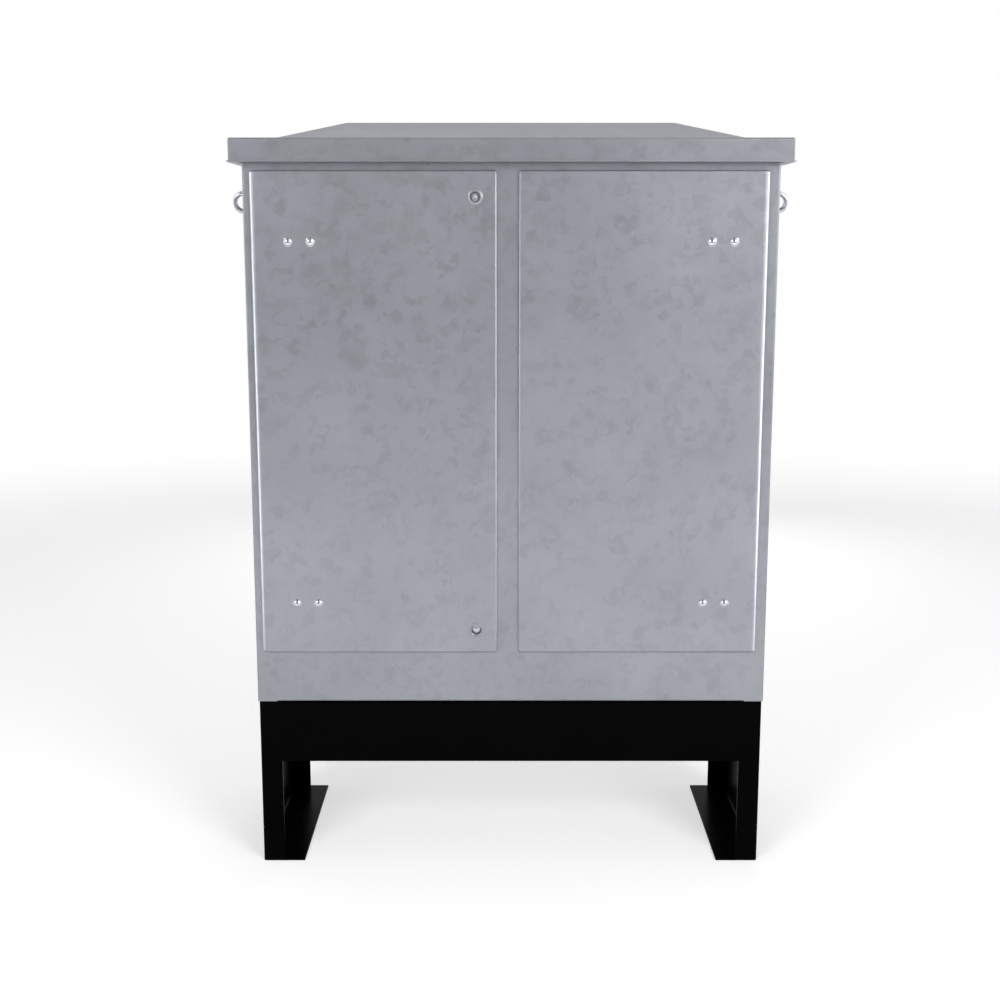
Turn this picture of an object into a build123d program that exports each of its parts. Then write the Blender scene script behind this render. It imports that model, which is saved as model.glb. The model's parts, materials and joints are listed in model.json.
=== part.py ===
"""Feeder pillar: a two-door sheet steel cabinet on a raised root, under a hipped roof lid.

Frame: the origin is on the ground under the middle of the cabinet, +X to the right of a
person facing the doors, +Y towards the back, +Z up. Millimetres.
"""

import os

from build123d import *

os.makedirs("parts", exist_ok=True)

# Body
body_width = 1000.0
body_depth = 400.0
body_height = 1080.0
sheet = 3.0
bend = 1.0                  # inside radius of the body's folds
stile_width = 38.0          # front flange folded on each side panel
flange = 30.0               # inward flanges at the top of the side panels and head rail
base_flange = 40.0          # inward flange along the sill's bottom
back_return = 25.0          # back panel's edges, folded forwards inside the side panels
opening_top_rail = 75.0     # head rail's height
sill_height = 122.0
relief = 8.0                # gap left where two flanges meet at a corner

# Root
root_height = 336.0
root_inset = 2.0
root_sheet = 4.0
root_bend = 2.0
root_return = 43.0          # front and rear returns of the side channels
foot_width = 83.0
band_height = 127.0
band_lip = 15.0
root_flange = 40.0

# Roof lid
roof_overhang = 20.8
roof_sheet = 3.0
rim_height = 43.5
rim_lip = 15.0
rim_bead = 3.0              # outward edge along the rim's bottom
rim_fold = 4.0              # outside radius along the rim's top and bottom folds
rim_corner = 2.5
side_ledge = 63.0           # from the rim to the foot of the end slopes
front_ledge = 60.0          # from the rim to the foot of the front and rear slopes
hip_run = 134.0             # from the foot of an end slope to the ridge's end
roof_rise = 43.8
slope_blend = 150.0         # radius of the sweep from the ledge into the slopes

# Doors
door_sheet = 3.0
door_depth = 6.0
door_gap = 4.0              # from the body's face to the back edge of the door pan
door_fold = 4.0             # outside radius along the top, bottom and free edges
door_roll = 12.0            # outside radius along the hinge edge
door_corner = 2.0
left_margin = 14.4          # body's side to the left door's hinge edge
right_margin = 20.6
post_left = 26.6            # left door's free edge, left of the middle
post_right = 14.4           # right door's free edge, right of the middle
door_overlap = 19.5         # how far the doors cover the sill
door_head_overlap = 20.0    # how far they cover the head rail

# Door seal
seal_width = 6.0
seal_inset = 9.0            # from the door's top, bottom and free edges
seal_clearance = 0.3

# Centre post
post_overlap = 17.0         # how far the post's face runs behind each door
post_return = 28.0
post_end_gap = 0.5
post_stud_x = 20.0

# Hinges
pivot_setback = 22.0        # from the body's front face to the hinge axis
hinge_level = 99.0          # from a door's bottom edge to the lower hinge
hinge_drop = 130.5          # from a door's top edge to the upper hinge
arm_thickness = 5.0
arm_width = 40.0
arm_reach = 38.0            # clear radius round the axis, inside the arm's hook
arm_bend = 8.0
arm_hook_bend = 24.0
arm_end = 18.0
arm_corner = 8.0
knuckle_radius = 6.5
pin_radius = 3.0
pin_clearance = 0.05
pin_seat_clearance = 0.02
pin_head_radius = 5.0
pin_head_height = 2.5
pin_tail = 3.5
ear_gap = 0.5
ear_thickness = 3.0
ear_radius = 9.0
bracket_height = 110.0
bracket_front = 12.0
bracket_rear = 50.0
bracket_sheet = 3.0
hinge_bolt_outer = 84.1     # from the body's outer side to the outer bolt of each hinge
hinge_bolt_pitch = 41.5

# Fasteners
dome_radius = 8.75
dome_height = 4.5
m8_radius = 4.0
m8_across = 13.0
m8_height = 8.0
m8_flange_radius = 8.5
m6_radius = 3.0
m6_across = 10.0
m6_height = 5.0
m6_flange_radius = 6.5
nut_flange = 1.3
thread_clearance = 0.1
bolt_clearance = 0.5        # radial, round M8 and M10 shanks
screw_clearance = 0.3       # radial, round M6 shanks
neck_clearance = 0.2
stud_end = 3.0              # thread showing past a nut

# Locks
lock_inset = 40.5           # from the left door's free edge
lock_drop = 48.3            # upper lock, from the door's top edge
lock_rise = 46.0            # lower lock, from the door's bottom edge
lock_face_radius = 14.8
lock_face = 2.0
lock_bezel = 3.0            # width of the face's sloping edge
barrel_radius = 11.0
barrel_flats = 20.0
barrel_clearance = 0.1
cup_radius = 9.5
cup_depth = 12.0
cup_chamfer = 1.8
spindle_radius = 6.0
spindle_collar_radius = 7.5
spindle_collar = 2.0
spindle_clearance = 0.05
drive_radius = 6.0
drive_round = 1.0
drive_chamfer = 0.8
drive_setback = 1.5
cam_clearance = 2.5         # from the back of the rail to the cam
cam_thickness = 3.0
cam_length = 42.0
cam_half_width = 8.0
cam_square = 8.0
lock_nut_across = 27.0
lock_nut_height = 5.0
cam_screw_radius = 2.5
cam_screw_depth = 10.0
cam_screw_head = 4.5
cam_screw_head_height = 3.5

# Shoot bolts of the right door
rod_radius = 6.0
rod_clearance = 0.06
rod_setback = 1.0           # from the back of the rail to the rod
rod_inset = 38.0            # from the right door's free edge
rod_length = 85.0
rod_rest = 6.0              # from the opening's edge to the drawn-back rod
rod_chamfer = 2.0
handle_radius = 4.0
handle_length = 22.0
handle_place = 50.0         # from the rod's tip
keeper_width = 28.0
keeper_span = 60.0
keeper_place = 13.0         # from the drawn-back tip to the first ear
keeper_depth = 10.0         # past the rod's axis
keeper_sheet = 3.0

# Equipment backboard
board_side = 70.0           # from the body's sides to the board
board_thickness = 18.0
board_bottom = 144.0        # above the root
board_top = 96.0            # below the top of the body
rail_depth = 25.0
rail_crown = 40.0
rail_flange = 18.0
rail_sheet = 2.0
rail_bend = 2.0
rail_edge = 80.0            # from the board's top and bottom edges to the rails
board_screw_inset = 70.0    # from the board's side edges
board_screw_head = 6.0
board_screw_cone = 3.3

# Earth stud
earth_y = 60.0
earth_level = 164.0         # above the root
earth_length = 34.0
m10_radius = 5.0
m10_across = 17.0
m10_height = 8.0
m10_washer_radius = 10.5
m10_washer = 2.0

# Lifting eyes
eye_drop = 107.0            # from the top of the body
eye_ring_radius = 17.5
eye_section_radius = 5.0
eye_collar_radius = 12.5
eye_collar_top_radius = 9.0
eye_collar = 8.0
eye_nut_height = 10.0
eye_nut_across = 16.0

# Roof studs and root bolts
roof_stud_x = 300.0
roof_stud_y = 90.0
root_bolt_x = 250.0
root_bolt_y = 110.0
side_bolt_inset = 16.5
front_bolt_inset = 22.0
rear_bolt_inset = 17.0
head_stud_inset = 16.0

# Places worked out from the sizes above
half_width = body_width / 2
front = -body_depth / 2
back = body_depth / 2
body_bottom = root_height
body_top = root_height + body_height
opening_half = half_width - stile_width
m8_hole = m8_radius + bolt_clearance
m10_hole = m10_radius + bolt_clearance
m6_hole = m6_radius + screw_clearance
neck_side = 2 * m8_radius
opening_bottom = body_bottom + sill_height
opening_top = body_top - opening_top_rail
inside_front = front + sheet
inside_side = half_width - sheet
inside_back = back - sheet

door_bottom = opening_bottom - door_overlap
door_top = opening_top + door_head_overlap
door_back = front - door_gap
door_front = door_back - door_depth
door_inside = door_front + door_sheet

pivot_x = inside_side - bracket_sheet - pin_head_radius
pivot_y = front + pivot_setback
lower_hinge = door_bottom + hinge_level
upper_hinge = door_top - hinge_drop
bolt_outer_x = half_width - hinge_bolt_outer
bolt_inner_x = bolt_outer_x - hinge_bolt_pitch

ledge_top = body_top + roof_sheet
rim_bottom = ledge_top - rim_height

root_half = half_width - root_inset
root_front = front + root_inset
root_back = back - root_inset


def finish(piece, name):
    """Label a finished sub-part and write it to its file."""
    piece.part.label = name
    export_step(piece.part, f"parts/{name}.step")


def sheet_section(points, thickness, inner_radius):
    """Section of a folded sheet: its middle line, bent at each inner point."""
    with BuildLine() as middle:
        FilletPolyline(*points, radius=inner_radius + thickness / 2)
    trace(middle.line, line_width=thickness)


def across_front(y):
    """Upright plane at y, seen from the front: local x is X and local y is Z."""
    return Plane.XZ.offset(-y)


def side_plane(x):
    """Upright plane at x: local x is Y and local y is Z."""
    return Plane.YZ.offset(x)


def facing_back(x, y, z):
    """Location that turns a piece made along +Z to point towards the back."""
    return Location((x, y, z), (-90, 0, 0))


def facing_down(x, y, z):
    return Location((x, y, z), (180, 0, 0))


# Fasteners, each made once round its own axis and copied to its places

def flange_nut(across, height, flange_radius, radius):
    """Hexagon nut with a washer flange at its foot, seated on z = 0."""
    with BuildPart() as nut:
        Cylinder(flange_radius, nut_flange, align=(Align.CENTER, Align.CENTER, Align.MIN))
        with BuildSketch():
            RegularPolygon(across / 2, 6, major_radius=False)
        extrude(amount=height)
        chamfer(nut.edges().group_by(Axis.Z)[-1], nut_flange / 3)
        Cylinder(radius + thread_clearance, 3 * height, mode=Mode.SUBTRACT)
    return nut.part


def flange_bolt(across, head, flange_radius, radius, length):
    """Hexagon bolt with a flanged head above z = 0 and its shank below."""
    with BuildPart() as bolt:
        Cylinder(flange_radius, nut_flange, align=(Align.CENTER, Align.CENTER, Align.MIN))
        with BuildSketch():
            RegularPolygon(across / 2, 6, major_radius=False)
        extrude(amount=head)
        chamfer(bolt.edges().group_by(Axis.Z)[-1], nut_flange / 3)
        Cylinder(radius, length, align=(Align.CENTER, Align.CENTER, Align.MAX))
        chamfer(bolt.edges().group_by(Axis.Z)[0], radius / 5)
    return bolt.part


def plain_nut(across, height, radius):
    with BuildPart() as nut:
        with BuildSketch():
            RegularPolygon(across / 2, 6, major_radius=False)
            Circle(radius + thread_clearance, mode=Mode.SUBTRACT)
        extrude(amount=height)
    return nut.part


def washer(outer_radius, thickness, radius):
    with BuildPart() as ring:
        with BuildSketch():
            Circle(outer_radius)
            Circle(radius + thread_clearance, mode=Mode.SUBTRACT)
        extrude(amount=thickness)
    return ring.part


def dome_bolt(grip):
    """Round-head bolt with a square neck: head below z = 0, neck and shank above."""
    ball = (dome_radius ** 2 + dome_height ** 2) / (2 * dome_height)
    with BuildPart() as bolt:
        with BuildSketch(Plane.XZ):
            with BuildLine():
                Line((0, -dome_height), (0, 0))
                Line((0, 0), (dome_radius, 0))
                RadiusArc((dome_radius, 0), (0, -dome_height), ball)
            make_face()
        revolve(axis=Axis.Z)
        Box(neck_side, neck_side, door_sheet, align=(Align.CENTER, Align.CENTER, Align.MIN))
        Cylinder(m8_radius, grip, align=(Align.CENTER, Align.CENTER, Align.MIN))
        chamfer(bolt.edges().group_by(Axis.Z)[-1], m8_radius / 5)
    return bolt.part


m8_nut = flange_nut(m8_across, m8_height, m8_flange_radius, m8_radius)
m6_nut = flange_nut(m6_across, m6_height, m6_flange_radius, m6_radius)
m10_nut = plain_nut(m10_across, m10_height, m10_radius)
m10_washer_ring = washer(m10_washer_radius, m10_washer, m10_radius)
eye_nut = flange_nut(eye_nut_across, eye_nut_height, m10_washer_radius, m10_radius)


# Root: two side channels with feet, and a band across the front and the rear

root_bolt_places = [
    (x, y)
    for x in (-(half_width - side_bolt_inset), half_width - side_bolt_inset)
    for y in (-root_bolt_y, root_bolt_y)
] + [
    (x, y)
    for x in (-root_bolt_x, root_bolt_x)
    for y in (front + front_bolt_inset, back - rear_bolt_inset)
]

with BuildPart() as root_side_left:
    edge = -root_half
    with BuildSketch(Plane.XY.offset(root_sheet)):
        sheet_section(
            [
                (edge + root_return, root_front + root_sheet / 2),
                (edge + root_sheet / 2, root_front + root_sheet / 2),
                (edge + root_sheet / 2, root_back - root_sheet / 2),
                (edge + root_return, root_back - root_sheet / 2),
            ],
            root_sheet,
            root_bend,
        )
    extrude(amount=root_height - root_sheet)
    with BuildSketch():
        with Locations((edge + foot_width / 2, 0)):
            foot = Rectangle(foot_width, root_back - root_front)
        fillet(foot.vertices().group_by(Axis.X)[0], root_bend + root_sheet)
    extrude(amount=root_sheet)
    flange_length = root_back - root_front - 2 * (root_sheet + relief)
    with BuildSketch(Plane.XY.offset(root_height - root_sheet)):
        with Locations((edge + (root_sheet + root_flange) / 2, 0)):
            Rectangle(root_flange - root_sheet, flange_length)
        with Locations(*[place for place in root_bolt_places if place[0] < -root_bolt_x]):
            Circle(m8_hole, mode=Mode.SUBTRACT)
    extrude(amount=root_sheet)
finish(root_side_left, "root_side_left")

with BuildPart() as root_side_right:
    mirror(root_side_left.part, about=Plane.YZ)
finish(root_side_right, "root_side_right")


def root_band(outer, inward, bolt_y):
    """Band between the side channels' returns, lipped below and flanged on top."""
    mid = outer + inward * root_sheet / 2
    bottom = root_height - band_height
    length = 2 * (root_half - root_return)
    with BuildPart() as band:
        with BuildSketch(side_plane(-length / 2)):
            sheet_section(
                [
                    (outer + inward * band_lip, bottom + root_sheet / 2),
                    (mid, bottom + root_sheet / 2),
                    (mid, root_height - root_sheet / 2),
                    (outer + inward * root_flange, root_height - root_sheet / 2),
                ],
                root_sheet,
                root_bend,
            )
        extrude(amount=length)
        with Locations((-root_bolt_x, bolt_y, root_height), (root_bolt_x, bolt_y, root_height)):
            Cylinder(m8_hole, 3 * root_sheet, mode=Mode.SUBTRACT)
    return band


root_front_band = root_band(root_front, 1, front + front_bolt_inset)
finish(root_front_band, "root_front_band")

root_rear_band = root_band(root_back, -1, back - rear_bolt_inset)
finish(root_rear_band, "root_rear_band")

root_grip = sheet + root_sheet
root_bolt = flange_bolt(m8_across, m8_height, m8_flange_radius, m8_radius,
                        root_grip + m8_height + stud_end)

with BuildPart() as root_bolts:
    with Locations(*[(x, y, body_bottom + sheet) for x, y in root_bolt_places]):
        add(root_bolt)
finish(root_bolts, "root_bolts")

with BuildPart() as root_nuts:
    with Locations(*[facing_down(x, y, root_height - root_sheet) for x, y in root_bolt_places]):
        add(m8_nut)
finish(root_nuts, "root_nuts")


# Body

roof_stud_places = [
    (x, y)
    for x in (-(half_width - side_bolt_inset), half_width - side_bolt_inset)
    for y in (-roof_stud_y, roof_stud_y)
] + [
    (x, y)
    for x in (-roof_stud_x, roof_stud_x)
    for y in (front + head_stud_inset, back - rear_bolt_inset)
]
fold_zone = bend + sheet + 1.0
eye_level = body_top - eye_drop

with BuildPart() as side_panel_left:
    wall_mid = -half_width + sheet / 2
    with BuildSketch(Plane.XY.offset(body_bottom)):
        sheet_section(
            [
                (-opening_half, front + sheet / 2),
                (wall_mid, front + sheet / 2),
                (wall_mid, back),
            ],
            sheet,
            bend,
        )
    extrude(amount=body_height)
    flange_front = front + relief
    flange_rear = back - back_return - 1.0
    flange_run = flange_rear - flange_front
    for outer_z, inward in ((body_top, -1), (body_bottom, 1)):
        with Locations((-half_width, (flange_front + flange_rear) / 2, outer_z)):
            Box(2 * fold_zone, flange_run, 2 * fold_zone, mode=Mode.SUBTRACT)
        with BuildSketch(across_front(flange_rear)):
            sheet_section(
                [
                    (wall_mid, outer_z + inward * fold_zone),
                    (wall_mid, outer_z + inward * sheet / 2),
                    (-half_width + flange, outer_z + inward * sheet / 2),
                ],
                sheet,
                bend,
            )
        extrude(amount=flange_run)
    with Locations(*[(x, y, body_bottom) for x, y in root_bolt_places if x < -root_bolt_x]):
        Cylinder(m8_hole, 3 * sheet, mode=Mode.SUBTRACT)
    with Locations(*[(x, y, body_top) for x, y in roof_stud_places if x < -roof_stud_x]):
        Cylinder(m8_hole, 3 * sheet, mode=Mode.SUBTRACT)
    with Locations((-half_width, 0, eye_level)):
        Cylinder(m10_hole, 3 * sheet, rotation=(0, 90, 0), mode=Mode.SUBTRACT)
finish(side_panel_left, "side_panel_left")

with BuildPart() as side_panel_right:
    mirror(side_panel_left.part, about=Plane.YZ)
finish(side_panel_right, "side_panel_right")

with BuildPart() as back_panel:
    back_mid = back - sheet / 2
    return_mid = inside_side - sheet / 2
    with BuildSketch(Plane.XY.offset(body_bottom)):
        sheet_section(
            [
                (-return_mid, back - back_return),
                (-return_mid, back_mid),
                (return_mid, back_mid),
                (return_mid, back - back_return),
            ],
            sheet,
            bend,
        )
    extrude(amount=body_height)
    panel_flange_half = inside_side - sheet - relief
    for level in (body_bottom, body_top - sheet):
        with BuildSketch(Plane.XY.offset(level)):
            with Locations((0, (inside_back + back - back_return) / 2)):
                Rectangle(2 * panel_flange_half, back_return - sheet)
        extrude(amount=sheet)
    with Locations(*[(x, y, body_bottom) for x, y in root_bolt_places if abs(x) == root_bolt_x]):
        Cylinder(m8_hole, 3 * sheet, mode=Mode.SUBTRACT)
    with Locations(*[(x, y, body_top) for x, y in roof_stud_places if abs(x) == roof_stud_x]):
        Cylinder(m8_hole, 3 * sheet, mode=Mode.SUBTRACT)
finish(back_panel, "back_panel")

post_left_edge = -post_left - post_overlap
post_right_edge = post_right + post_overlap
post_middle = (post_left_edge + post_right_edge) / 2
post_back = front
post_front = front - sheet
post_stud_places = [
    (post_middle + side * post_stud_x, level)
    for side in (-1, 1)
    for level in ((door_bottom + opening_bottom) / 2, (door_top + opening_top) / 2)
]

with BuildPart() as head_rail:
    with BuildSketch(side_plane(-opening_half)):
        sheet_section(
            [
                (front + sheet / 2, opening_top),
                (front + sheet / 2, body_top - sheet / 2),
                (front + flange, body_top - sheet / 2),
            ],
            sheet,
            bend,
        )
    extrude(amount=2 * opening_half)
    with Locations(*[(x, y, body_top) for x, y in roof_stud_places if abs(x) == roof_stud_x]):
        Cylinder(m8_hole, 3 * sheet, mode=Mode.SUBTRACT)
    with Locations(*[(x, front, z) for x, z in post_stud_places if z > opening_top]):
        Cylinder(m6_hole, 3 * sheet, rotation=(90, 0, 0), mode=Mode.SUBTRACT)
finish(head_rail, "head_rail")

with BuildPart() as sill_panel:
    with BuildSketch(side_plane(-opening_half)):
        sheet_section(
            [
                (front + base_flange, body_bottom + sheet / 2),
                (front + sheet / 2, body_bottom + sheet / 2),
                (front + sheet / 2, opening_bottom),
            ],
            sheet,
            bend,
        )
    extrude(amount=2 * opening_half)
    with Locations(*[(x, y, body_bottom) for x, y in root_bolt_places if abs(x) == root_bolt_x]):
        Cylinder(m8_hole, 3 * sheet, mode=Mode.SUBTRACT)
    with Locations(*[(x, front, z) for x, z in post_stud_places if z < opening_bottom]):
        Cylinder(m6_hole, 3 * sheet, rotation=(90, 0, 0), mode=Mode.SUBTRACT)
finish(sill_panel, "sill_panel")

post_stud_length = sheet + m6_height + stud_end

with BuildPart() as centre_post:
    with BuildSketch(Plane.XY.offset(opening_bottom + post_end_gap)):
        sheet_section(
            [
                (post_left_edge + sheet / 2, post_front + post_return),
                (post_left_edge + sheet / 2, (post_front + post_back) / 2),
                (post_right_edge - sheet / 2, (post_front + post_back) / 2),
                (post_right_edge - sheet / 2, post_front + post_return),
            ],
            sheet,
            bend,
        )
    extrude(amount=opening_top - opening_bottom - 2 * post_end_gap)
    post_face = post_right_edge - post_left_edge - 2 * (bend + sheet)
    with BuildSketch(across_front(post_back)):
        with Locations((post_middle, (door_bottom + door_top) / 2)):
            Rectangle(post_face, door_top - door_bottom)
    extrude(amount=sheet)
    with Locations(*[facing_back(x, post_back, z) for x, z in post_stud_places]):
        Cylinder(m6_radius, post_stud_length, align=(Align.CENTER, Align.CENTER, Align.MIN))
finish(centre_post, "centre_post")

with BuildPart() as centre_post_nuts:
    with Locations(*[facing_back(x, inside_front, z) for x, z in post_stud_places]):
        add(m6_nut)
finish(centre_post_nuts, "centre_post_nuts")


# Roof lid

def roof_form(depth_in):
    """Solid lid, or its inside when depth_in is the sheet's thickness."""
    half_x = half_width + roof_overhang - depth_in
    half_y = body_depth / 2 + roof_overhang - depth_in
    base_z = ledge_top - depth_in
    run_y = body_depth / 2 + roof_overhang - front_ledge
    slope_x = roof_rise / hip_run
    slope_y = roof_rise / run_y
    drop_x = depth_in * ((1 + slope_x ** 2) ** 0.5 - 1)
    drop_y = depth_in * ((1 + slope_y ** 2) ** 0.5 - 1)
    foot_x = half_width + roof_overhang - side_ledge - drop_x / slope_x
    foot_y = run_y - drop_y / slope_y
    top_z = base_z + roof_rise - drop_y
    ridge_x = foot_x - (top_z - base_z) / slope_x
    with BuildPart() as form:
        with BuildSketch(across_front(half_y)):
            Polygon(
                (-foot_x, base_z), (foot_x, base_z), (ridge_x, top_z), (-ridge_x, top_z),
                align=None,
            )
        extrude(amount=2 * half_y)
        with BuildSketch(side_plane(-half_x)):
            Polygon((-foot_y, base_z), (foot_y, base_z), (0, top_z), align=None)
        extrude(amount=2 * half_x, mode=Mode.INTERSECT)
        with BuildSketch(Plane.XY.offset(rim_bottom)):
            rim = Rectangle(2 * half_x, 2 * half_y)
            fillet(rim.vertices(), max(rim_corner - depth_in, 0.5))
        extrude(amount=base_z - rim_bottom)
        at_foot = [
            line
            for line in form.edges().filter_by_position(Axis.Z, base_z, base_z)
            if abs(line.center().X) < foot_x + 1 and abs(line.center().Y) < foot_y + 1
        ]
        fillet(at_foot, slope_blend + depth_in)
        at_rim = [
            line
            for line in form.edges().filter_by_position(Axis.Z, base_z, base_z)
            if abs(line.center().X) > half_x - rim_fold
            or abs(line.center().Y) > half_y - rim_fold
        ]
        fillet(at_rim, rim_fold - depth_in)
    return form.part


stud_root = body_top + roof_sheet / 2
roof_stud_length = stud_root - body_top + sheet + m8_height + stud_end

with BuildPart() as roof:
    add(roof_form(0))
    add(roof_form(roof_sheet), mode=Mode.SUBTRACT)
    with BuildSketch(Plane.XY.offset(rim_bottom)):
        outer_x = half_width + roof_overhang + rim_bead
        outer_y = body_depth / 2 + roof_overhang + rim_bead
        lip = Rectangle(2 * outer_x, 2 * outer_y)
        fillet(lip.vertices(), rim_corner + rim_bead)
        Rectangle(
            2 * (half_width + roof_overhang - rim_lip),
            2 * (body_depth / 2 + roof_overhang - rim_lip),
            mode=Mode.SUBTRACT,
        )
    extrude(amount=roof_sheet)
    with Locations(*[facing_down(x, y, stud_root) for x, y in roof_stud_places]):
        Cylinder(m8_radius, roof_stud_length, align=(Align.CENTER, Align.CENTER, Align.MIN))
finish(roof, "roof")

with BuildPart() as roof_nuts:
    with Locations(*[facing_down(x, y, body_top - sheet) for x, y in roof_stud_places]):
        add(m8_nut)
finish(roof_nuts, "roof_nuts")


# Doors

def door_pan(hinge_edge, free_edge, bolt_xs, lock_x):
    """Shallow pan, rolled along its hinge edge, with square holes for the hinge bolts."""
    hinge_side = -1 if hinge_edge < free_edge else 1
    form_back = door_front + max(door_depth, door_roll) + door_sheet
    with BuildPart() as pan:
        with BuildSketch(across_front(form_back)):
            with Locations(((hinge_edge + free_edge) / 2, (door_bottom + door_top) / 2)):
                outline = Rectangle(abs(free_edge - hinge_edge), door_top - door_bottom)
            fillet(
                [v for v in outline.vertices() if (v.X - free_edge) * hinge_side < 1],
                door_corner + door_sheet,
            )
        extrude(amount=form_back - door_front)
        face_edges = pan.faces().sort_by(Axis.Y)[0].edges()
        fillet(face_edges.sort_by(Axis.X)[0 if hinge_side < 0 else -1], door_roll)
        face_edges = pan.faces().sort_by(Axis.Y)[0].edges()
        fillet(face_edges.sort_by(Axis.Z)[-1], door_fold)
        offset(amount=-door_sheet, openings=pan.faces().sort_by(Axis.Y)[-1])
        with BuildSketch(across_front(form_back + door_sheet)):
            with Locations(((hinge_edge + free_edge) / 2, (door_bottom + door_top) / 2)):
                Rectangle(2 * abs(free_edge - hinge_edge), 2 * (door_top - door_bottom))
        extrude(amount=form_back + door_sheet - door_back, mode=Mode.SUBTRACT)
        with BuildSketch(across_front(door_inside)):
            with Locations(*[(x, z) for x in bolt_xs for z in (lower_hinge, upper_hinge)]):
                Rectangle(neck_side + 2 * neck_clearance, neck_side + 2 * neck_clearance)
        extrude(amount=2 * door_sheet, both=True, mode=Mode.SUBTRACT)
        if lock_x is not None:
            with BuildSketch(across_front(door_inside)):
                with Locations((lock_x, upper_lock), (lock_x, lower_lock)):
                    Circle(barrel_radius + barrel_clearance)
            extrude(amount=2 * door_sheet, both=True, mode=Mode.SUBTRACT)
    return pan


# The roll reaches past the pan's back edge, where the door ends
roll_past = door_roll - (door_roll ** 2 - max(door_roll - door_depth, 0) ** 2) ** 0.5
left_door_edge = -half_width + left_margin - roll_past
right_door_edge = half_width - right_margin + roll_past
lock_x = -post_left - lock_inset
upper_lock = door_top - lock_drop
lower_lock = door_bottom + lock_rise

left_door = door_pan(left_door_edge, -post_left, (-bolt_outer_x, -bolt_inner_x), lock_x)
finish(left_door, "left_door")

right_door = door_pan(right_door_edge, post_right, (bolt_inner_x, bolt_outer_x), None)
finish(right_door, "right_door")


def door_seal(hinge_edge, free_edge):
    """Foam ring inside a door pan, stepped where it bears on the centre post's face."""
    hinge_side = -1 if hinge_edge < free_edge else 1
    hinge_limit = hinge_edge - hinge_side * (door_roll + seal_clearance)
    free_limit = free_edge + hinge_side * seal_inset
    width = abs(free_limit - hinge_limit)
    height = door_top - door_bottom - 2 * seal_inset
    with BuildPart() as seal:
        with BuildSketch(across_front(door_inside)):
            with Locations(((hinge_limit + free_limit) / 2, (door_bottom + door_top) / 2)):
                Rectangle(width, height)
                Rectangle(width - 2 * seal_width, height - 2 * seal_width, mode=Mode.SUBTRACT)
        extrude(amount=door_inside - front + seal_clearance)
        with Locations((post_middle, front, (door_bottom + door_top) / 2)):
            Box(
                post_right_edge - post_left_edge + 2 * seal_clearance,
                2 * (sheet + seal_clearance),
                door_top - door_bottom,
                mode=Mode.SUBTRACT,
            )
    return seal


left_door_seal = door_seal(left_door_edge, -post_left)
finish(left_door_seal, "left_door_seal")

right_door_seal = door_seal(right_door_edge, post_right)
finish(right_door_seal, "right_door_seal")


# Hinges: an arm hooks round the stile from a pin on the side panel to the door's inside

def hinge_arm(level):
    """Strap rolled into a knuckle at the pin, hooked round the stile and laid on the door."""
    reach = arm_reach + arm_thickness / 2
    leaf_y = door_inside + arm_thickness / 2
    leaf_end = -bolt_inner_x + arm_end
    with BuildPart() as arm:
        with BuildSketch(Plane.XY.offset(level - arm_width / 2)):
            with BuildLine():
                FilletPolyline(
                    (-pivot_x, pivot_y),
                    (-pivot_x, pivot_y + reach),
                    (-pivot_x + reach, pivot_y + reach),
                    (-pivot_x + reach, leaf_y),
                    (leaf_end, leaf_y),
                    radius=[arm_bend, arm_hook_bend, arm_bend],
                )
            trace(line_width=arm_thickness)
            with Locations((-pivot_x, pivot_y)):
                Circle(knuckle_radius)
                Circle(pin_radius + pin_clearance, mode=Mode.SUBTRACT)
        extrude(amount=arm_width)
        fillet(arm.edges().filter_by(Axis.Y).group_by(Axis.X)[-1], arm_corner)
        with Locations((-bolt_outer_x, leaf_y, level), (-bolt_inner_x, leaf_y, level)):
            Cylinder(m8_hole, 2 * arm_thickness, rotation=(90, 0, 0), mode=Mode.SUBTRACT)
    return arm


def hinge_bracket(level):
    """Plate on the side panel, with two ears pressed out of a window to hold the pin."""
    window = arm_width / 2 + ear_gap
    with BuildPart() as bracket:
        with BuildSketch(side_plane(-inside_side)):
            middle = pivot_y + (bracket_rear - bracket_front) / 2
            with Locations((middle, level)):
                plate = Rectangle(bracket_rear + bracket_front, bracket_height)
            fillet(plate.vertices(), ear_radius)
            with Locations((pivot_y, level)):
                Rectangle(2 * ear_radius + 2 * ear_gap, 2 * window, mode=Mode.SUBTRACT)
        extrude(amount=bracket_sheet)
        for ear_bottom in (level - window - ear_thickness, level + window):
            with BuildSketch(Plane.XY.offset(ear_bottom)):
                with Locations((-pivot_x, pivot_y)):
                    Circle(ear_radius)
                with Locations(((-inside_side - pivot_x) / 2, pivot_y)):
                    Rectangle(inside_side - pivot_x, 2 * ear_radius)
                with Locations((-inside_side - ear_radius, pivot_y)):
                    Rectangle(2 * ear_radius, 4 * ear_radius, mode=Mode.SUBTRACT)
                with Locations((-pivot_x, pivot_y)):
                    Circle(pin_radius + pin_seat_clearance, mode=Mode.SUBTRACT)
            extrude(amount=ear_thickness)
    return bracket


def hinge_pin():
    """Headed pin, made with the lower face of its head at z = 0."""
    length = arm_width + 2 * (ear_gap + ear_thickness) + pin_tail
    with BuildPart() as pin:
        Cylinder(pin_head_radius, pin_head_height, align=(Align.CENTER, Align.CENTER, Align.MIN))
        fillet(pin.edges().group_by(Axis.Z)[-1], pin_head_height / 3)
        Cylinder(pin_radius, length, align=(Align.CENTER, Align.CENTER, Align.MAX))
        chamfer(pin.edges().group_by(Axis.Z)[0], pin_radius / 4)
    return pin.part


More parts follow.
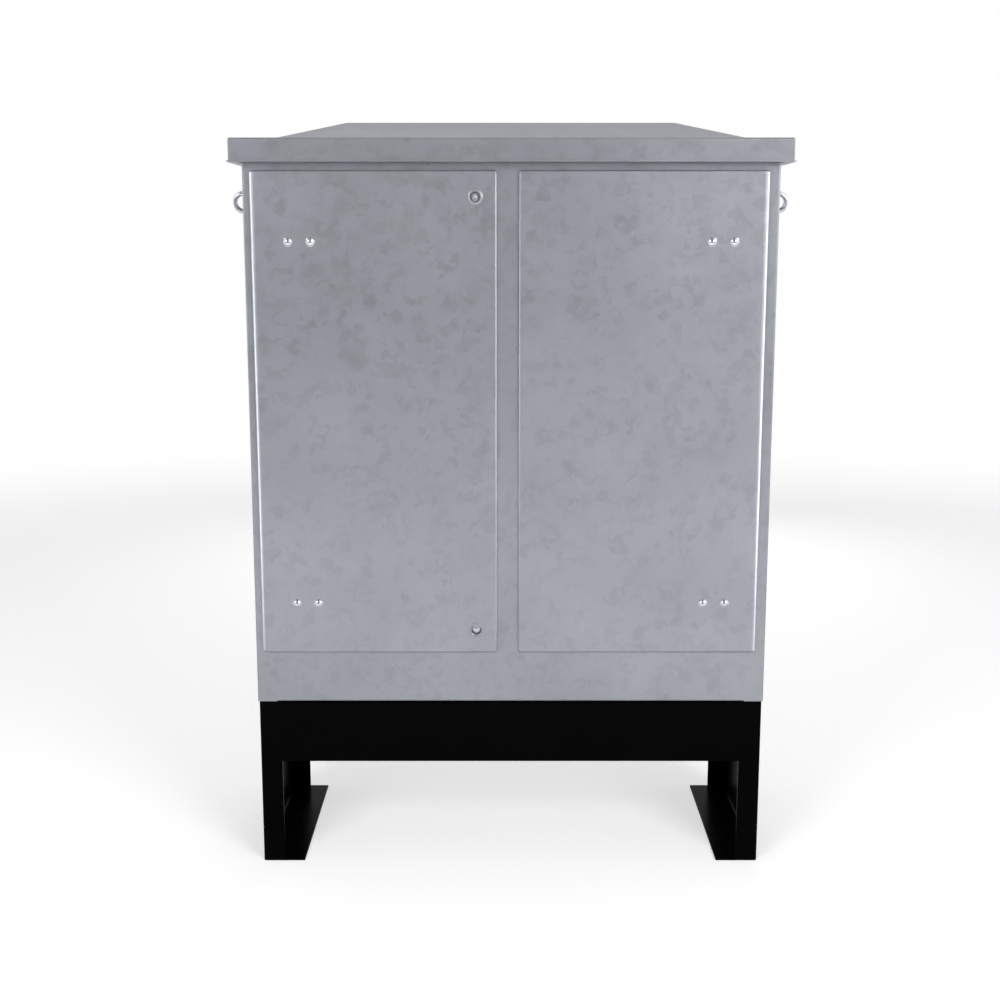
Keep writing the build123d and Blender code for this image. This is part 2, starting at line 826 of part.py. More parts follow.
for level_name, level in (("upper", upper_hinge), ("lower", lower_hinge)):
    left_arm = hinge_arm(level)
    finish(left_arm, f"hinge_arm_left_{level_name}")
    with BuildPart() as right_arm:
        mirror(left_arm.part, about=Plane.YZ)
    finish(right_arm, f"hinge_arm_right_{level_name}")
    left_bracket = hinge_bracket(level)
    finish(left_bracket, f"hinge_bracket_left_{level_name}")
    with BuildPart() as right_bracket:
        mirror(left_bracket.part, about=Plane.YZ)
    finish(right_bracket, f"hinge_bracket_right_{level_name}")

pin_head_lift = arm_width / 2 + ear_gap + ear_thickness
hinge_grip = door_sheet + arm_thickness
hinge_bolt = dome_bolt(hinge_grip + m8_height + stud_end)

for side_name, side in (("left", -1), ("right", 1)):
    with BuildPart() as pins:
        with Locations(*[
            (side * pivot_x, pivot_y, level + pin_head_lift) for level in (upper_hinge, lower_hinge)
        ]):
            add(hinge_pin())
    finish(pins, f"hinge_pins_{side_name}")
    bolt_places = [
        (side * x, level) for x in (bolt_outer_x, bolt_inner_x) for level in (upper_hinge, lower_hinge)
    ]
    with BuildPart() as bolts:
        with Locations(*[facing_back(x, door_front, level) for x, level in bolt_places]):
            add(hinge_bolt)
    finish(bolts, f"hinge_bolts_{side_name}")
    with BuildPart() as nuts:
        with Locations(*[
            facing_back(x, door_inside + arm_thickness, level) for x, level in bolt_places
        ]):
            add(m8_nut)
    finish(nuts, f"hinge_nuts_{side_name}")


# Locks: a flanged barrel through the left door, with a triangular drive down in its cup

cam_front = inside_front + cam_clearance
cam_back = cam_front + cam_thickness
barrel_end = cam_front
cup_floor = door_front - lock_face + cup_depth


def lock_housing(level):
    with BuildPart() as housing:
        with BuildSketch(across_front(door_front)):
            with Locations((lock_x, level)):
                Circle(lock_face_radius)
        extrude(amount=lock_face)
        chamfer(
            housing.faces().sort_by(Axis.Y)[0].edges(), length=lock_face / 3, length2=lock_bezel
        )
        with BuildSketch(across_front(barrel_end)):
            with Locations((lock_x, level)):
                Circle(barrel_radius)
                Rectangle(2 * barrel_radius, barrel_flats, mode=Mode.INTERSECT)
        extrude(amount=barrel_end - door_front)
        with BuildSketch(across_front(barrel_end)):
            with Locations((lock_x, level)):
                Circle(spindle_radius + spindle_clearance)
        extrude(amount=barrel_end - door_front + lock_face, mode=Mode.SUBTRACT)
        with BuildSketch(across_front(cup_floor)):
            with Locations((lock_x, level)):
                Circle(cup_radius)
        extrude(amount=cup_depth, mode=Mode.SUBTRACT)
        chamfer(housing.faces().sort_by(Axis.Y)[0].edges().sort_by(SortBy.LENGTH)[0], cup_chamfer)
    return housing


def lock_spindle(level, apex):
    """Triangular drive, collar, round core and square end, on one axis."""
    collar_front = cup_floor - spindle_collar
    with BuildPart() as spindle:
        with BuildSketch(across_front(cup_floor)):
            with Locations((lock_x, level)):
                Circle(spindle_collar_radius)
        extrude(amount=spindle_collar)
        with BuildSketch(across_front(collar_front)):
            with Locations((lock_x, level)):
                drive = RegularPolygon(drive_radius, 3, rotation=apex)
            fillet(drive.vertices(), drive_round)
        extrude(amount=collar_front - (door_front - lock_face + drive_setback))
        chamfer(spindle.faces().sort_by(Axis.Y)[0].edges(), drive_chamfer)
        with BuildSketch(across_front(barrel_end)):
            with Locations((lock_x, level)):
                Circle(spindle_radius)
        extrude(amount=barrel_end - cup_floor)
        with BuildSketch(across_front(cam_back)):
            with Locations((lock_x, level)):
                Rectangle(cam_square, cam_square)
        extrude(amount=cam_thickness)
        with Locations(facing_back(lock_x, cam_back, level)):
            Cylinder(
                cam_screw_radius + thread_clearance / 2,
                cam_screw_depth + 1,
                align=(Align.CENTER, Align.CENTER, Align.MAX),
                mode=Mode.SUBTRACT,
            )
    return spindle


def lock_cam(level):
    """Flat tongue with a square hole, lying towards the hinges when the lock is open."""
    with BuildPart() as cam:
        with BuildSketch(across_front(cam_back)):
            with Locations((lock_x, level)):
                Circle(cam_half_width)
            with Locations((lock_x - (cam_length - cam_half_width) / 2, level)):
                Rectangle(cam_length - cam_half_width, 2 * cam_half_width)
            with Locations((lock_x - cam_length + cam_half_width, level)):
                Circle(cam_half_width)
            with Locations((lock_x, level)):
                side_length = cam_square + 2 * spindle_clearance
                Rectangle(side_length, side_length, mode=Mode.SUBTRACT)
        extrude(amount=cam_thickness)
    return cam


def cam_screw():
    """Round-headed screw and washer face, with the head above z = 0."""
    with BuildPart() as screw:
        Cylinder(
            cam_screw_head + 1.5, cam_screw_head_height / 3,
            align=(Align.CENTER, Align.CENTER, Align.MIN),
        )
        Cylinder(
            cam_screw_head, cam_screw_head_height, align=(Align.CENTER, Align.CENTER, Align.MIN)
        )
        fillet(screw.edges().group_by(Axis.Z)[-1], cam_screw_head_height / 3)
        with BuildSketch(Plane.XY.offset(cam_screw_head_height)):
            RegularPolygon(cam_screw_radius, 6)
        extrude(amount=-cam_screw_head_height / 2, mode=Mode.SUBTRACT)
        Cylinder(cam_screw_radius, cam_screw_depth, align=(Align.CENTER, Align.CENTER, Align.MAX))
    return screw.part


lock_nut = plain_nut(lock_nut_across, lock_nut_height, barrel_radius)

for level_name, level, apex in (("upper", upper_lock, 90), ("lower", lower_lock, -90)):
    finish(lock_housing(level), f"lock_housing_{level_name}")
    finish(lock_spindle(level, apex), f"lock_spindle_{level_name}")
    finish(lock_cam(level), f"lock_cam_{level_name}")
    with BuildPart() as nut:
        with Locations(facing_back(lock_x, door_inside, level)):
            add(lock_nut)
    finish(nut, f"lock_nut_{level_name}")
    with BuildPart() as screw:
        with Locations(facing_back(lock_x, cam_back, level)):
            add(cam_screw())
    finish(screw, f"cam_screw_{level_name}")


# Shoot bolts inside the right door

rod_x = post_right + rod_inset
rod_y = inside_front + rod_setback + rod_radius


def shoot_bolt(tip, outward):
    """Round rod with a chamfered tip and a side handle; outward is +1 up or -1 down."""
    with BuildPart() as rod:
        with BuildSketch(Plane.XY.offset(tip)):
            with Locations((rod_x, rod_y)):
                Circle(rod_radius)
        extrude(amount=-outward * rod_length)
        chamfer(
            rod.edges().filter_by(GeomType.CIRCLE).filter_by_position(Axis.Z, tip - 1, tip + 1),
            rod_chamfer,
        )
        with Locations(facing_back(rod_x, rod_y, tip - outward * handle_place)):
            Cylinder(
                handle_radius, rod_radius + handle_length,
                align=(Align.CENTER, Align.CENTER, Align.MIN),
            )
        fillet(rod.faces().sort_by(Axis.Y)[-1].edges(), handle_radius / 2)
    return rod


def bolt_keeper(tip, outward):
    """Folded channel welded to the door, with a hole in each ear for the rod."""
    near = tip - outward * keeper_place
    far = near - outward * keeper_span
    low, high = min(near, far), max(near, far)
    edge_y = rod_y + keeper_depth
    base_y = door_inside + keeper_sheet / 2
    with BuildPart() as keeper:
        with BuildSketch(side_plane(rod_x - keeper_width / 2)):
            sheet_section(
                [
                    (edge_y, low + keeper_sheet / 2),
                    (base_y, low + keeper_sheet / 2),
                    (base_y, high - keeper_sheet / 2),
                    (edge_y, high - keeper_sheet / 2),
                ],
                keeper_sheet,
                bend,
            )
        extrude(amount=keeper_width)
        fillet(
            keeper.edges().filter_by(Axis.Z).group_by(Axis.Y)[-1], keeper_depth * 0.6
        )
        with Locations((rod_x, rod_y, (low + high) / 2)):
            Cylinder(rod_radius + rod_clearance, 2 * keeper_span, mode=Mode.SUBTRACT)
    return keeper


for level_name, tip, outward in (
    ("upper", opening_top - rod_rest, 1),
    ("lower", opening_bottom + rod_rest, -1),
):
    finish(shoot_bolt(tip, outward), f"shoot_bolt_{level_name}")
    finish(bolt_keeper(tip, outward), f"shoot_bolt_keeper_{level_name}")


# Equipment backboard on two rails

board_width = body_width - 2 * board_side
board_low = body_bottom + board_bottom
board_high = body_top - board_top
board_back = inside_back - rail_depth
board_front = board_back - board_thickness
rail_levels = {"upper": board_high - rail_edge, "lower": board_low + rail_edge}
board_screw_x = board_width / 2 - board_screw_inset
board_screw_places = [
    (x, level)
    for x in (-board_screw_x, 0, board_screw_x)
    for level in rail_levels.values()
]

with BuildPart() as backboard:
    with BuildSketch(across_front(board_back)):
        with Locations((0, (board_low + board_high) / 2)):
            Rectangle(board_width, board_high - board_low)
        with Locations(*board_screw_places):
            Circle(m6_hole, mode=Mode.SUBTRACT)
    extrude(amount=board_thickness)
    with Locations(*[facing_back(x, board_front, z) for x, z in board_screw_places]):
        Cone(
            board_screw_head + thread_clearance, m6_radius + thread_clearance, board_screw_cone,
            align=(Align.CENTER, Align.CENTER, Align.MIN), mode=Mode.SUBTRACT,
        )
finish(backboard, "backboard")

for level_name, level in rail_levels.items():
    crown = board_back + rail_sheet / 2
    seat = inside_back - rail_sheet / 2
    with BuildPart() as rail:
        with BuildSketch(side_plane(-board_width / 2)):
            sheet_section(
                [
                    (seat, level - rail_crown / 2 - rail_flange),
                    (seat, level - rail_crown / 2),
                    (crown, level - rail_crown / 2),
                    (crown, level + rail_crown / 2),
                    (seat, level + rail_crown / 2),
                    (seat, level + rail_crown / 2 + rail_flange),
                ],
                rail_sheet,
                rail_bend,
            )
        extrude(amount=board_width)
        with Locations(*[(x, board_back, z) for x, z in board_screw_places if z == level]):
            Cylinder(m6_hole, 3 * rail_sheet, rotation=(90, 0, 0), mode=Mode.SUBTRACT)
    finish(rail, f"backboard_rail_{level_name}")

with BuildPart() as board_screw:
    Cone(
        board_screw_head, m6_radius, board_screw_cone,
        align=(Align.CENTER, Align.CENTER, Align.MIN),
    )
    Cylinder(
        m6_radius, board_thickness + rail_sheet + m6_height + stud_end,
        align=(Align.CENTER, Align.CENTER, Align.MIN),
    )

with BuildPart() as backboard_screws:
    with Locations(*[facing_back(x, board_front, z) for x, z in board_screw_places]):
        add(board_screw.part)
finish(backboard_screws, "backboard_screws")

with BuildPart() as backboard_nuts:
    with Locations(*[facing_back(x, board_back + rail_sheet, z) for x, z in board_screw_places]):
        add(m6_nut)
finish(backboard_nuts, "backboard_nuts")


# Earth stud inside the left side panel

earth_z = root_height + earth_level


def on_left_wall(offset_x, y, z):
    """Location for a piece made along +Z that stands inwards from the left side panel."""
    return Location((-inside_side + offset_x, y, z), (0, 90, 0))


with BuildPart() as earth_stud:
    with Locations(on_left_wall(0, earth_y, earth_z)):
        Cylinder(m10_radius, earth_length, align=(Align.CENTER, Align.CENTER, Align.MIN))
    chamfer(earth_stud.edges().group_by(Axis.X)[-1], m10_radius / 5)
finish(earth_stud, "earth_stud")

with BuildPart() as earth_nuts:
    with Locations(
        on_left_wall(0, earth_y, earth_z),
        on_left_wall(m10_height + m10_washer, earth_y, earth_z),
    ):
        add(m10_nut)
finish(earth_nuts, "earth_nuts")

with BuildPart() as earth_washer:
    with Locations(on_left_wall(m10_height, earth_y, earth_z)):
        add(m10_washer_ring)
finish(earth_washer, "earth_washer")


# Lifting eyes, one high on each side, clamped between nuts

eye_seat = half_width + eye_nut_height
eye_centre = eye_seat + eye_ring_radius + eye_section_radius
eye_shank = sheet + 2 * eye_nut_height + stud_end

with BuildPart() as lifting_eye_left:
    with Locations((-eye_centre, 0, eye_level)):
        Torus(eye_ring_radius, eye_section_radius, rotation=(90, 0, 0))
    with Locations(Location((-eye_seat, 0, eye_level), (0, -90, 0))):
        Cone(
            eye_collar_radius, eye_collar_top_radius, eye_collar,
            align=(Align.CENTER, Align.CENTER, Align.MIN),
        )
        Cylinder(m10_radius, eye_shank, align=(Align.CENTER, Align.CENTER, Align.MAX))
    with Locations((-eye_centre, 0, eye_level)):
        Cylinder(
            eye_ring_radius - eye_section_radius, 3 * eye_collar_radius,
            rotation=(90, 0, 0), mode=Mode.SUBTRACT,
        )
finish(lifting_eye_left, "lifting_eye_left")

with BuildPart() as lifting_eye_right:
    mirror(lifting_eye_left.part, about=Plane.YZ)
finish(lifting_eye_right, "lifting_eye_right")

with BuildPart() as eye_nuts_left:
    with Locations(
        Location((-half_width, 0, eye_level), (0, -90, 0)),
        on_left_wall(0, 0, eye_level),
    ):
        add(eye_nut)
finish(eye_nuts_left, "eye_nuts_left")

with BuildPart() as eye_nuts_right:
    mirror(eye_nuts_left.part, about=Plane.YZ)
finish(eye_nuts_right, "eye_nuts_right")
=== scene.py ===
"""Feeder pillar: bare galvanised cabinet on a black painted root, on a pale studio floor.

Metres, in the model's own frame: +X to the right of a person facing the doors, +Y towards
the back, +Z up, with the ground at zero.
"""

import json
from math import radians

import bmesh
import bpy
import numpy as np
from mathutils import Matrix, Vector


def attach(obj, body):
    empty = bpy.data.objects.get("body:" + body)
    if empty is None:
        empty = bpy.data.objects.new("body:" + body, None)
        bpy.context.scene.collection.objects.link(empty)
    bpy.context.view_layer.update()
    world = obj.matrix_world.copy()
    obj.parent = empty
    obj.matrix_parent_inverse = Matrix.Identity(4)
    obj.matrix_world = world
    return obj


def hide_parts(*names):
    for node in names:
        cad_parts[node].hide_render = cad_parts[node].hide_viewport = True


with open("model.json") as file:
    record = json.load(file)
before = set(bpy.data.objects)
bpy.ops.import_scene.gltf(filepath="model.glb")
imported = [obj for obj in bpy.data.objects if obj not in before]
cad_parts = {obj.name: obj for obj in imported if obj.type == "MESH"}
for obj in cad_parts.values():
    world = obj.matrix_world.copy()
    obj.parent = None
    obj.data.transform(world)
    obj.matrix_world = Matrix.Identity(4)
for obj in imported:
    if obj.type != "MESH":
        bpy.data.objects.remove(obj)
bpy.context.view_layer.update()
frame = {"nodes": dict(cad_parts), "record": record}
nodes = frame["nodes"]


# Camera: fitted to the edges of the cabinet and the root in the photograph

camera_place = (-0.0209, -2.8959, 1.2259)
camera_tilt = 79.8          # degrees up from looking straight down
camera_lens = 51.12
camera_film = 36.0


def set_camera():
    """Perspective camera at the fitted place."""
    data = bpy.data.cameras.new("view")
    data.lens = camera_lens
    data.sensor_width = camera_film
    data.clip_end = 100.0
    camera = bpy.data.objects.new("view", data)
    camera.location = camera_place
    camera.rotation_euler = (radians(camera_tilt), 0.0, 0.0)
    bpy.context.scene.collection.objects.link(camera)
    bpy.context.scene.camera = camera


# Materials

def new_material(name):
    """An empty node material: returns it, its node tree and its main shader."""
    material = bpy.data.materials.new(name)
    material.use_nodes = True
    tree = material.node_tree
    shader = tree.nodes["Principled BSDF"]
    return material, tree, shader


def add_node(tree, kind, inputs=None, **settings):
    """A node with its settings and its unlinked inputs; a tuple (node, socket) is a link."""
    node = tree.nodes.new(kind)
    for key, value in settings.items():
        setattr(node, key, value)
    for key, value in (inputs or {}).items():
        socket = node.inputs[key]
        if isinstance(value, tuple) and value and isinstance(value[0], bpy.types.Node):
            tree.links.new(value[0].outputs[value[1]], socket)
        else:
            socket.default_value = value
    return node


def link(tree, source, output, target, socket):
    """Join one node's output to another's input."""
    tree.links.new(source.outputs[output], target.inputs[socket])


def ramp(tree, source, output, stops, interpolation="LINEAR"):
    """Colour ramp fed from a value; stops are (position, colour) pairs."""
    node = add_node(tree, "ShaderNodeValToRGB", {"Fac": (source, output)})
    band = node.color_ramp
    band.interpolation = interpolation
    while len(band.elements) < len(stops):
        band.elements.new(0.5)
    for element, (position, colour) in zip(band.elements, stops):
        element.position = position
        element.color = (*colour, 1.0)
    return node


def blend_colour(tree, factor, a, b, kind="MIX"):
    """Mix of two colours; factor, a and b are values or (node, socket) pairs."""
    node = tree.nodes.new("ShaderNodeMix")
    node.data_type = "RGBA"
    node.blend_type = kind
    for index, value in ((0, factor), (6, a), (7, b)):
        socket = node.inputs[index]
        if isinstance(value, tuple) and isinstance(value[0], bpy.types.Node):
            tree.links.new(value[0].outputs[value[1]], socket)
        elif isinstance(value, tuple):
            socket.default_value = (*value, 1.0)
        else:
            socket.default_value = value
    return node


def grey(value):
    """A neutral colour."""
    return (value, value, value)


# Zinc: patches along a metre, how soft and ragged their edges are, and their tones

small_patches = 74.0
large_patches = 40.0
patch_softness = 0.22
edge_wander = (0.022, 0.022, 0.022)
zinc_tones = [
    (0.10, (0.368, 0.378, 0.417)), (0.55, (0.390, 0.401, 0.442)), (1.00, (0.416, 0.427, 0.471)),
]
zinc_clouds = (0.93, 1.08)
zinc_roughness = (0.37, 0.42)
zinc_metallic = 0.85


def galvanised(name, seed=(0.0, 0.0, 0.0)):
    """Hot-dip zinc: two sizes of patches with soft ragged edges, under wide clouds."""
    material, tree, shader = new_material(name)
    place = add_node(tree, "ShaderNodeTexCoord")
    shift = add_node(tree, "ShaderNodeMapping", {"Vector": (place, "Object"), "Location": seed})
    wobble = add_node(
        tree, "ShaderNodeTexNoise",
        {"Vector": (shift, "Vector"), "Scale": 55.0, "Detail": 2.0},
    )
    warped = add_node(
        tree, "ShaderNodeVectorMath",
        {0: (wobble, "Color"), 1: edge_wander}, operation="MULTIPLY",
    )
    moved = add_node(
        tree, "ShaderNodeVectorMath", {0: (shift, "Vector"), 1: (warped, "Vector")},
        operation="ADD",
    )
    cells = add_node(
        tree, "ShaderNodeTexVoronoi",
        {"Vector": (moved, "Vector"), "Scale": small_patches, "Randomness": 1.0,
         "Smoothness": patch_softness},
        feature="SMOOTH_F1",
    )
    large_cells = add_node(
        tree, "ShaderNodeTexVoronoi",
        {"Vector": (moved, "Vector"), "Scale": large_patches, "Randomness": 1.0,
         "Smoothness": patch_softness},
        feature="SMOOTH_F1",
    )
    clouds = add_node(
        tree, "ShaderNodeTexNoise",
        {"Vector": (shift, "Vector"), "Scale": 4.2, "Detail": 8.0, "Roughness": 0.66},
    )
    small = add_node(tree, "ShaderNodeSeparateColor", {"Color": (cells, "Color")})
    large = add_node(tree, "ShaderNodeSeparateColor", {"Color": (large_cells, "Color")})
    patch = add_node(
        tree, "ShaderNodeMath", {0: (small, "Red"), 1: (large, "Green")}, operation="ADD"
    )
    tone = ramp(tree, patch, "Value", zinc_tones)
    drift = ramp(
        tree, clouds, "Fac", [(0.32, grey(zinc_clouds[0])), (0.68, grey(zinc_clouds[1]))]
    )
    colour = blend_colour(tree, 1.0, (tone, "Color"), (drift, "Color"), "MULTIPLY")
    link(tree, colour, 2, shader, "Base Color")
    gloss = add_node(
        tree, "ShaderNodeMapRange",
        {"Value": (patch, "Value"), "From Min": 0.0, "From Max": 2.0,
         "To Min": zinc_roughness[0], "To Max": zinc_roughness[1]},
    )
    link(tree, gloss, "Result", shader, "Roughness")
    grain = add_node(
        tree, "ShaderNodeTexNoise",
        {"Vector": (shift, "Vector"), "Scale": 420.0, "Detail": 3.0},
    )
    swell = add_node(
        tree, "ShaderNodeTexNoise",
        {"Vector": (shift, "Vector"), "Scale": 18.0, "Detail": 2.0},
    )
    fine = add_node(
        tree, "ShaderNodeBump",
        {"Height": (grain, "Fac"), "Strength": 0.10, "Distance": 0.0006},
    )
    broad = add_node(
        tree, "ShaderNodeBump",
        {"Height": (swell, "Fac"), "Strength": 0.30, "Distance": 0.002,
         "Normal": (fine, "Normal")},
    )
    link(tree, broad, "Normal", shader, "Normal")
    shader.inputs["Metallic"].default_value = zinc_metallic
    return material


def black_paint(name):
    """Black paint: near black and with little sheen, as photographed, with a fine ripple."""
    material, tree, shader = new_material(name)
    place = add_node(tree, "ShaderNodeTexCoord")
    ripple = add_node(
        tree, "ShaderNodeTexNoise",
        {"Vector": (place, "Object"), "Scale": 90.0, "Detail": 3.0},
    )
    film = add_node(
        tree, "ShaderNodeTexNoise",
        {"Vector": (place, "Object"), "Scale": 6.0, "Detail": 4.0},
    )
    tone = ramp(
        tree, film, "Fac", [(0.3, (0.0006, 0.0006, 0.0007)), (0.7, (0.0010, 0.0010, 0.0011))]
    )
    link(tree, tone, "Color", shader, "Base Color")
    gloss = add_node(
        tree, "ShaderNodeMapRange",
        {"Value": (film, "Fac"), "From Min": 0.3, "From Max": 0.7,
         "To Min": 0.20, "To Max": 0.32},
    )
    link(tree, gloss, "Result", shader, "Roughness")
    bump = add_node(
        tree, "ShaderNodeBump", {"Height": (ripple, "Fac"), "Strength": 0.08, "Distance": 0.001}
    )
    link(tree, bump, "Normal", shader, "Normal")
    shader.inputs["Specular IOR Level"].default_value = 0.03
    return material


def bright_metal(name, dark, light, rough_low, rough_high, metallic=1.0):
    """Bare or plated metal: two close tones, uneven gloss and a very fine grain."""
    material, tree, shader = new_material(name)
    place = add_node(tree, "ShaderNodeTexCoord")
    haze = add_node(
        tree, "ShaderNodeTexNoise",
        {"Vector": (place, "Object"), "Scale": 60.0, "Detail": 4.0},
    )
    tone = ramp(tree, haze, "Fac", [(0.35, dark), (0.65, light)])
    link(tree, tone, "Color", shader, "Base Color")
    gloss = add_node(
        tree, "ShaderNodeMapRange",
        {"Value": (haze, "Fac"), "From Min": 0.35, "From Max": 0.65,
         "To Min": rough_low, "To Max": rough_high},
    )
    link(tree, gloss, "Result", shader, "Roughness")
    grain = add_node(
        tree, "ShaderNodeTexNoise",
        {"Vector": (place, "Object"), "Scale": 900.0, "Detail": 2.0},
    )
    bump = add_node(
        tree, "ShaderNodeBump", {"Height": (grain, "Fac"), "Strength": 0.04, "Distance": 0.0002}
    )
    link(tree, bump, "Normal", shader, "Normal")
    shader.inputs["Metallic"].default_value = metallic
    return material


def foam(name):
    """Closed-cell foam: matt black with fine open pores on its skin."""
    material, tree, shader = new_material(name)
    place = add_node(tree, "ShaderNodeTexCoord")
    pores = add_node(
        tree, "ShaderNodeTexVoronoi", {"Vector": (place, "Object"), "Scale": 1400.0}
    )
    tone = ramp(tree, pores, "Distance", [(0.1, grey(0.010)), (0.6, grey(0.030))])
    link(tree, tone, "Color", shader, "Base Color")
    bump = add_node(
        tree, "ShaderNodeBump",
        {"Height": (pores, "Distance"), "Strength": 0.5, "Distance": 0.0006},
    )
    link(tree, bump, "Normal", shader, "Normal")
    shader.inputs["Roughness"].default_value = 0.9
    return material


def plywood(name):
    """Rotary-cut birch face, with the plies as bands through the thickness on the edges."""
    material, tree, shader = new_material(name)
    place = add_node(tree, "ShaderNodeTexCoord")
    stretch = add_node(
        tree, "ShaderNodeMapping", {"Vector": (place, "Object"), "Scale": (9.0, 9.0, 1.6)}
    )
    figure = add_node(
        tree, "ShaderNodeTexNoise",
        {"Vector": (stretch, "Vector"), "Scale": 3.0, "Detail": 6.0, "Distortion": 1.2},
    )
    face = ramp(
        tree, figure, "Fac",
        [(0.30, (0.40, 0.265, 0.15)), (0.5, (0.56, 0.40, 0.24)), (0.72, (0.66, 0.50, 0.32))],
    )
    parts = add_node(tree, "ShaderNodeSeparateXYZ", {"Vector": (place, "Object")})
    ply = add_node(tree, "ShaderNodeMath", {0: (parts, "Y"), 1: 350.0}, operation="MULTIPLY")
    wave = add_node(tree, "ShaderNodeMath", {0: (ply, "Value"), 1: 1.0}, operation="PINGPONG")
    edge = ramp(tree, wave, "Value", [(0.35, (0.30, 0.18, 0.09)), (0.65, (0.58, 0.42, 0.26))])
    surface = add_node(tree, "ShaderNodeNewGeometry")
    facing = add_node(tree, "ShaderNodeSeparateXYZ", {"Vector": (surface, "True Normal")})
    size = add_node(tree, "ShaderNodeMath", {0: (facing, "Y")}, operation="ABSOLUTE")
    colour = blend_colour(tree, (size, "Value"), (edge, "Color"), (face, "Color"))
    link(tree, colour, 2, shader, "Base Color")
    bump = add_node(
        tree, "ShaderNodeBump", {"Height": (figure, "Fac"), "Strength": 0.15, "Distance": 0.001}
    )
    link(tree, bump, "Normal", shader, "Normal")
    shader.inputs["Roughness"].default_value = 0.62
    return material


def coat(node_name, material):
    """Put one material on every slot of a CAD node."""
    slots = nodes[node_name].data.materials
    if len(slots) == 0:
        slots.append(material)
    for index in range(len(slots)):
        slots[index] = material


smoothed_nodes = {"left_door": "left_door", "right_door": "right_door", "roof": "root"}


def dress_nodes():
    """Give every node the finish of its slot in the record, and build the finer pieces."""
    steel_seeds = {
        "left_door": (0.0, 0.0, 0.0), "right_door": (3.1, 0.4, 1.7), "roof": (7.3, 2.2, 0.9),
        "centre_post": (1.9, 5.1, 2.4),
    }
    steels = {name: galvanised("galvanised_" + name, seed) for name, seed in steel_seeds.items()}
    body_steel = galvanised("galvanised_body", (4.7, 1.3, 3.9))
    finishes = {
        "root_paint": black_paint("root_paint"),
        "polished_stainless": bright_metal(
            "polished_stainless", (0.71, 0.73, 0.78), (0.81, 0.83, 0.88), 0.05, 0.11
        ),
        "zinc_plate": bright_metal(
            "zinc_plate", (0.50, 0.51, 0.53), (0.66, 0.66, 0.67), 0.22, 0.38
        ),
        "foam_seal": foam("foam_seal"),
        "plywood": plywood("plywood"),
        "brass": bright_metal("brass", (0.62, 0.43, 0.16), (0.78, 0.58, 0.26), 0.18, 0.34),
    }
    satin = bright_metal(
        "satin_lock", (0.32, 0.33, 0.35), (0.38, 0.39, 0.42), 0.30, 0.38, metallic=0.6
    )
    drive = bright_metal(
        "lock_drive", (0.56, 0.58, 0.63), (0.68, 0.70, 0.76), 0.10, 0.18, metallic=0.45
    )
    for row in frame["record"]["subparts"]:
        name, slot = row["node"], row["material_slot"]
        if slot == "galvanised_steel":
            coat(name, steels.get(name, body_steel))
        else:
            coat(name, finishes[slot])
    for name, body in smoothed_nodes.items():
        smooth_copy(name, body)
    make_hinge_bolts(finishes["polished_stainless"])
    make_locks(satin, drive)
    make_lifting_eyes(finishes["polished_stainless"])
    make_welds(finishes["root_paint"])


# Pieces: surfaces worked out as whole grids of points, all places in metres

door_face = -0.2100         # front of both doors
hinge_levels = (0.5375, 1.2305)
hinge_bolt_xs = (0.4159, 0.3744)
dome_radius = 0.00875
dome_height = 0.0045
bolt_length = 0.0190
bolt_radius = 0.0040
bolt_pitch = 0.00125
lock_x = -0.0671
lock_levels = {"upper": 1.3127, "lower": 0.4845}
lock_face = door_face - 0.0020
lock_rear = 0.0174          # behind the face: stops 0.1 mm clear of the cam
drive_reach = 0.0060        # from the drive's axis to its corners
drive_rounding = 0.0010
drive_front = 0.0015        # the drive's tip, behind the lock's face
square_half_diagonal = 0.0040 * np.sqrt(2)
eye_x = 0.5325
eye_z = 1.3090
eye_seat_x = 0.5100         # where the collar meets its washer
eye_circle = 0.0175         # radius of the ring's middle line
eye_bar = 0.0050            # radius of its round bar
eye_swell = 0.0009          # how much thicker the bar is beside the collar
eye_swell_turn = 0.55
shank_radius = 0.0050
shank_length = 0.0260
shank_pitch = 0.0015
flat_angle = radians(0.05)      # triangles that meet flatter than this become one face
smooth_angle = radians(32.0)    # edges bent more than this stay sharp


def grid_faces(rows, columns, wrap_rows, wrap_columns, start):
    """Quads between neighbouring points, joined round where a direction closes on itself."""
    row = np.arange(rows if wrap_rows else rows - 1)
    column = np.arange(columns if wrap_columns else columns - 1)
    row, column = np.meshgrid(row, column, indexing="ij")
    next_row, next_column = (row + 1) % rows, (column + 1) % columns
    corners = (
        row * columns + column, row * columns + next_column,
        next_row * columns + next_column, next_row * columns + column,
    )
    return start + np.stack(corners, axis=-1).reshape(-1, 4)


def make_piece(name, grids, body, material):
    """One mesh from several closed grids; each grid is (points, wrap_rows, wrap_columns)."""
    points, faces, start = [], [], 0
    for place, wrap_rows, wrap_columns in grids:
        rows, columns = place.shape[:2]
        points.append(place.reshape(-1, 3))
        faces.append(grid_faces(rows, columns, wrap_rows, wrap_columns, start))
        start += rows * columns
    mesh = bpy.data.meshes.new(name)
    mesh.from_pydata(np.concatenate(points).tolist(), [], np.concatenate(faces).tolist())
    finish_mesh(mesh, 1e-6)
    piece = bpy.data.objects.new(name, mesh)
    bpy.context.scene.collection.objects.link(piece)
    mesh.materials.append(material)
    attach(piece, body)
    return piece


